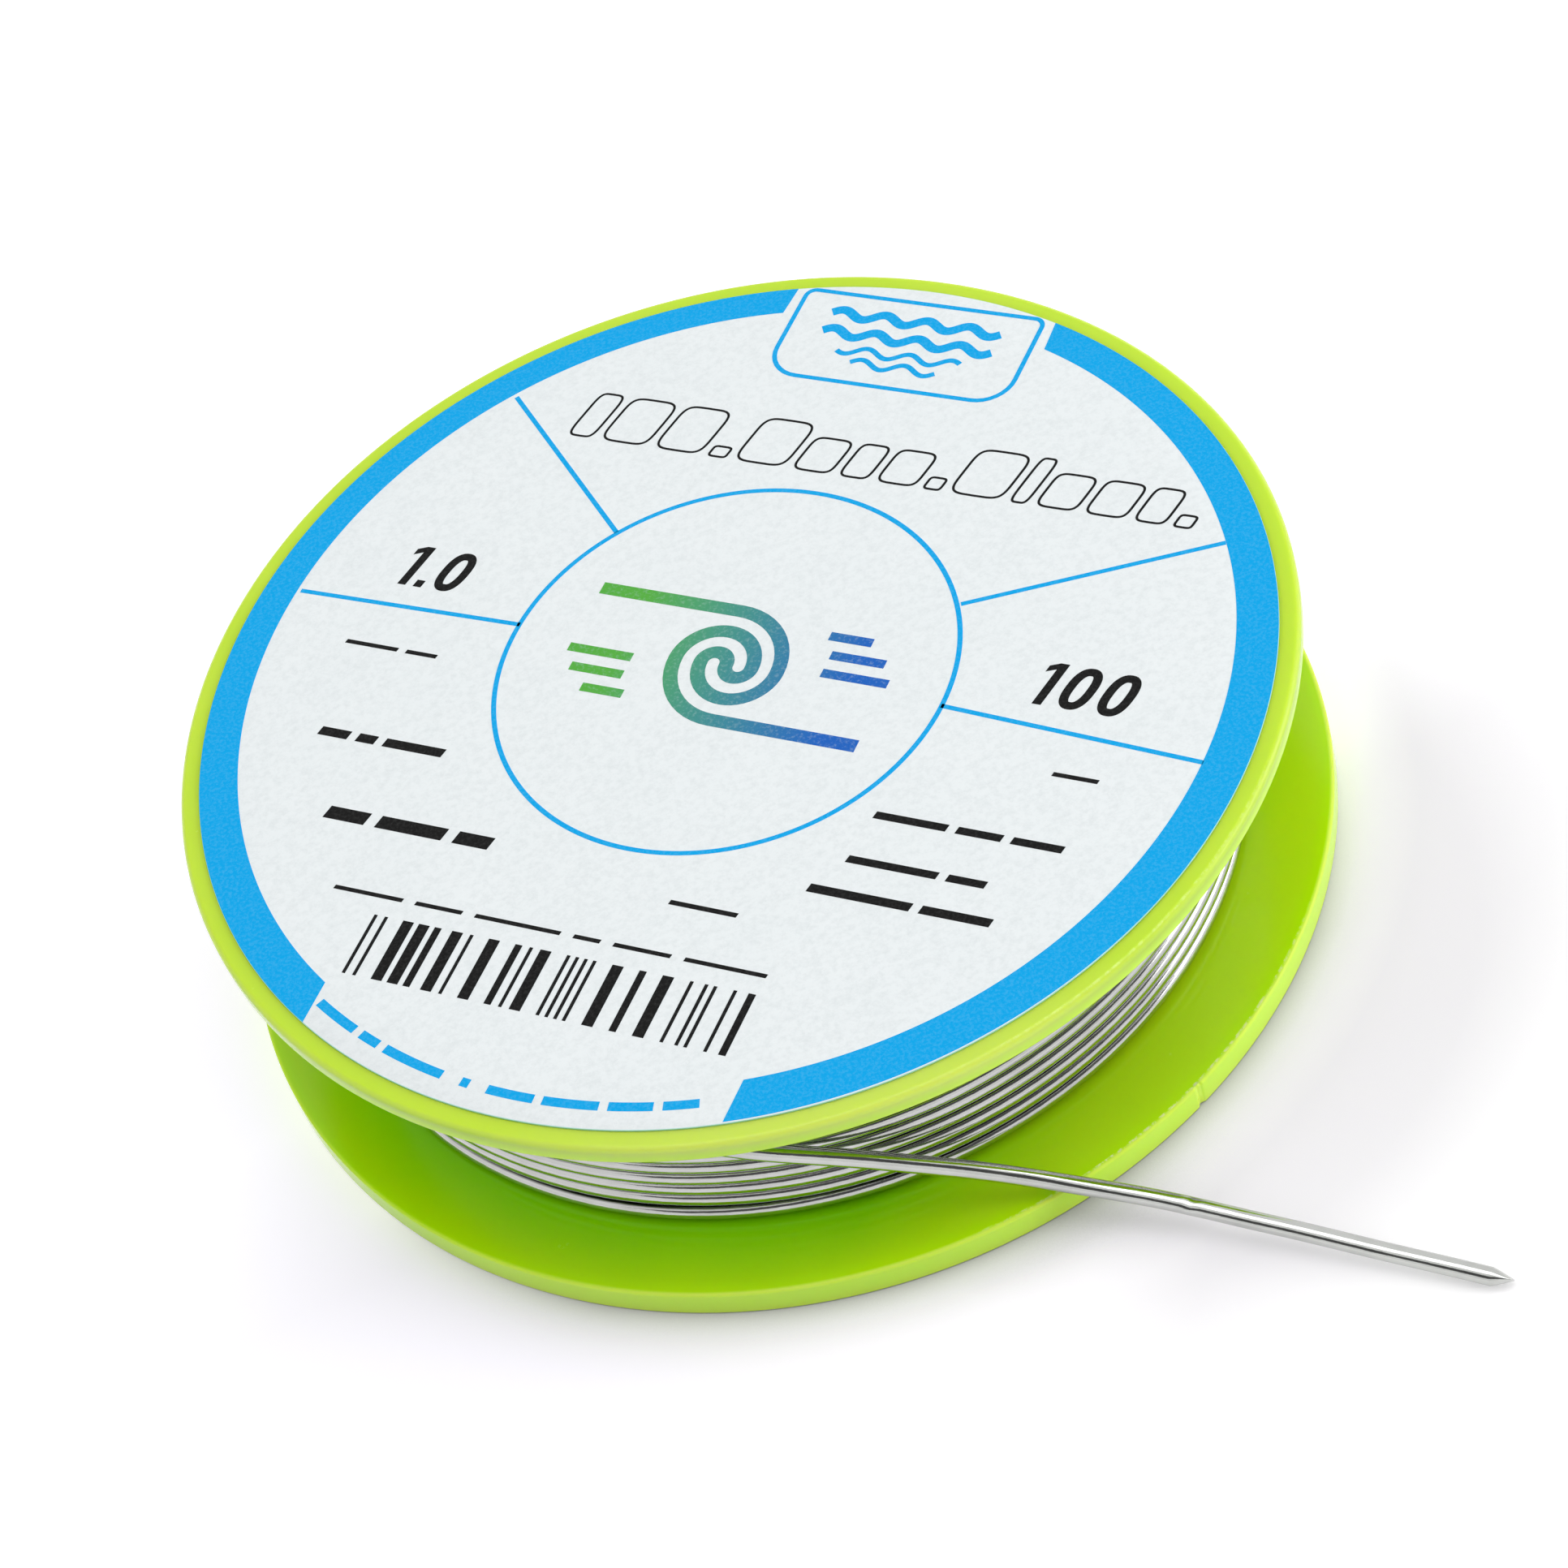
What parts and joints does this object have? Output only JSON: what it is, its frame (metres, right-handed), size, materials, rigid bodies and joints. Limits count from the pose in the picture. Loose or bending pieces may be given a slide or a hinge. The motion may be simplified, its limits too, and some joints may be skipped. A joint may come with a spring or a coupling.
{
  "type": "solder wire spool",
  "caption": "Flat round plastic reel wound with solder wire; the cut end of the wire lies over the lower rim, and a round paper label covers the upper flange.",
  "frame": {"origin": "centre of the lower flange's outer face, on the surface that the reel stands on", "axes": "+Z along the reel's axis, from the lower flange up to the labelled one; -Y towards the side where the free end of the wire leaves the winding"},
  "size_m": [0.063, 0.0767, 0.0152],
  "materials": {
    "reel_plastic": "moulded lime green plastic, satin gloss",
    "label_paper": "coated white label paper with a blue printed ring",
    "solder": "bright drawn tin solder wire"
  },
  "bodies": {
    "root": {"reel": "reel_plastic", "label": "label_paper", "solder_inner_layers": "solder", "solder_outer_layer": "solder", "solder_free_end": "solder"}
  },
  "joints": []
}
